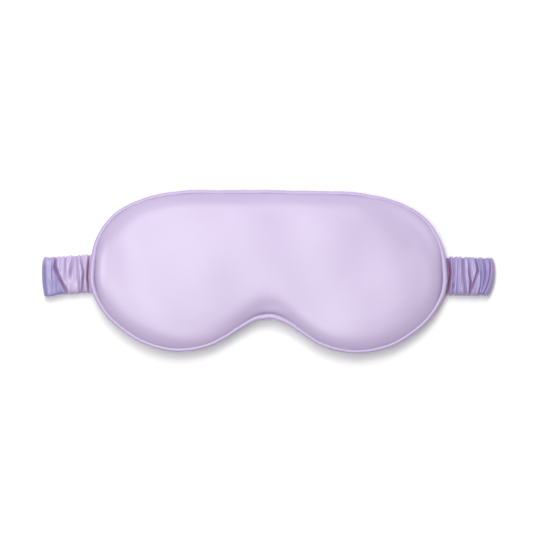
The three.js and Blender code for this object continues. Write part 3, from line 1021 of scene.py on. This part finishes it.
def satin(name, colour, fold_shade_colour, gloss, ior, warp=(8.5, 0.45, 1.0), hollow=None):
    """Satin weave: long floats one way of the cloth, crossed by faint weft, with painted shade darkening it
    in folds, creases and gaps.
    """
    graph = Graph(name, IOR=ior, Sheen_Weight=0.06, Sheen_Roughness=0.35, Sheen_Tint=(0.93, 0.88, 1, 1))
    cloth = graph.field("cloth", "Vector")
    floats = graph.noise(cloth, warp)
    weft = graph.noise(cloth, (0.7, 6.5, 1.0))
    slub = graph.noise(cloth, (0.9, 0.05, 1.0), 1.0)
    slow = graph.noise(cloth, (0.028, 0.035, 0.03), 1.0)
    base = graph.mix(graph.between(slow, 0, 1), tinted(colour, 0.975), tinted(colour, 1.02))
    base = graph.mix(graph.between(floats, 0, 0.35), base, tinted(colour, 0.9))
    # painted shade: the shade attribute mixes in a blue shade colour where the gathers get less light
    if hollow:
        base = graph.mix(graph.field("shade"), base, hollow)
    # painted shade: the fold attribute mixes in the darker colour along seams, grooves and creases
    fold = graph.field("fold")
    base = graph.mix(fold, base, fold_shade_colour)
    painted_gap_shadow = graph.math("SUBTRACT", fold, 1)  # painted shadow: a fold over 1 is an open gap, painted nearly black inside
    base = graph.mix(painted_gap_shadow, base, tinted(fold_shade_colour, 0.08))
    relief = graph.math("ADD", graph.math("MULTIPLY", floats, 0.6), graph.math("MULTIPLY", weft, 0.3))
    relief = graph.math("ADD", relief, graph.math("MULTIPLY", slub, 0.25))
    graph.bump(relief, strength=0.5, depth=0.02)
    rough = graph.between(floats, gloss - 0.03, gloss + 0.05)
    rough = graph.math("ADD", rough, graph.math("MULTIPLY", fold, 0.3))
    return graph.finish(base, rough)


def fibre(name, colour, shade, stretch, depth, roughness):
    """A matt fibre: fluffy, twisted or ribbed according to how its noise is stretched."""
    graph = Graph(name, IOR=1.5, Sheen_Weight=0.3, Sheen_Roughness=0.6)
    cloth = graph.field("cloth", "Vector")
    fine = graph.noise(cloth, stretch, 4.0)
    slow = graph.noise(cloth, (0.08, 0.08, 0.08), 2.0)
    base = graph.mix(graph.between(fine, 0, 1), shade, colour)
    base = graph.mix(graph.between(slow, 0, 0.3), base, tinted(shade, 0.95))
    graph.bump(fine, strength=0.7, depth=depth)
    return graph.finish(base, graph.between(fine, roughness + 0.05, roughness - 0.05))


def woven(name, colour, shade, fineness, roughness):
    """A plain weave or a braid."""
    graph = Graph(name, IOR=1.5, Sheen_Weight=0.15, Sheen_Roughness=0.5)
    cloth = graph.field("cloth", "Vector")
    bands = fineness * 0.32
    over = graph.wave(cloth, (bands, 0.02, 1.0), "X")
    along = graph.wave(cloth, (0.02, bands, 1.0), "Y")
    weave = graph.math("MULTIPLY", over, along)
    worn = graph.noise(cloth, (0.12, 0.12, 0.1), 3.0)
    base = graph.mix(graph.between(weave, 0, 1), shade, colour)
    base = graph.mix(graph.between(worn, 0, 0.25), base, shade)
    graph.bump(weave, strength=0.6, depth=0.08)
    return graph.finish(base, graph.between(worn, roughness - 0.05, roughness + 0.05))


def backdrop(name, colour):
    graph = Graph(name, IOR=1.3)
    place = graph.add("TexCoord").outputs["Object"]
    grain = graph.noise(place, (4, 4, 4), 2.0)
    base = graph.mix(graph.between(grain, 0, 1), colour, tinted(colour, 0.99))
    return graph.finish(base, graph.between(grain, 0.9, 0.95))


# The second colour of each satin is its painted fold shade, and the sleeve's hollow colour is its painted
# blue shade.
MATERIALS = {
    "satin": satin("lavender_satin", (0.507, 0.419, 0.618), (0.21, 0.1, 0.25), 0.43, 1.87),
    "piping_satin": satin("bias_satin", (0.48, 0.39, 0.61), (0.36, 0.24, 0.44), 0.4, 1.76),
    "sleeve_satin": satin("sleeve_satin", (0.55, 0.455, 0.685), (0.25, 0.1, 0.205), 0.38, 1.75,
                          warp=(0.45, 8.5, 1.0), hollow=(0.24, 0.2, 0.44)),
    "wadding": fibre("white_wadding", (0.86, 0.85, 0.83), (0.7, 0.69, 0.67), (1.4, 1.4, 1.4), 0.5, 0.95),
    "cotton": fibre("cotton_cord", (0.82, 0.79, 0.72), (0.6, 0.56, 0.48), (2.5, 6.0, 1.0), 0.08, 0.9),
    "thread": fibre("sewing_thread", (0.5, 0.42, 0.62), (0.36, 0.29, 0.48), (6.0, 6.0, 6.0), 0.03, 0.6),
    "blackout": woven("blackout_weave", (0.022, 0.022, 0.027), (0.008, 0.008, 0.01), 2.2, 0.85),
    "elastic": woven("white_elastic", (0.8, 0.77, 0.82), (0.52, 0.49, 0.55), 1.4, 0.75),
}


# ---- floor, light and camera

def build_stage():
    """A pale floor, a faint light from all round, and two soft lamps: above, and beyond the brow."""
    half = 12 / MM
    corners = [(-half, -half, 0), (half, -half, 0), (half, half, 0), (-half, half, 0)]
    floor = add_object("floor", corners, [(0, 1, 2, 3)])
    floor.data.materials.append(backdrop("pale_floor", (0.95, 0.95, 0.95)))
    world = bpy.data.worlds.new("studio")
    world.use_nodes = True
    background = world.node_tree.nodes["Background"]
    background.inputs["Color"].default_value = (1, 1, 1, 1)
    background.inputs["Strength"].default_value = 0.13
    scene.world = world
    add_softbox("overhead", Vector((-0.27, 0.0, 1.65)), width=1.7, height=0.6, power=21.3)
    window = add_softbox("window", Vector((-0.05, 0.98, 1.32)), width=0.9, height=0.8, power=17)
    window.visible_glossy = False


def add_softbox(name, place, width, height, power):
    """A rectangular lamp that faces the mask. Its place and size are in metres."""
    lamp = bpy.data.lights.new(name, "AREA")
    lamp.shape = "RECTANGLE"
    lamp.size, lamp.size_y = width, height
    lamp.energy = power
    obj = bpy.data.objects.new(name, lamp)
    obj.location = place
    obj.rotation_euler = (-place).to_track_quat("-Z", "Y").to_euler()
    scene.collection.objects.link(obj)
    return obj


def build_camera():
    """Straight above the front face, a little off its middle and slightly turned."""
    distance, view_width, turn = 1600, 321.5, 0.58
    data = bpy.data.cameras.new("camera")
    data.sensor_width = 36
    data.lens = data.sensor_width * distance / view_width
    data.clip_start, data.clip_end = 0.05, 50
    camera = bpy.data.objects.new("camera", data)
    camera.location = Vector((-1.2, 2.95, PIPE_Z + distance)) * MM
    camera.rotation_euler = (0, 0, np.radians(turn))
    scene.collection.objects.link(camera)
    scene.camera = camera


build_panels()
build_edge()
build_strap()
build_stage()
build_camera()
scene.view_settings.view_transform = "Standard"
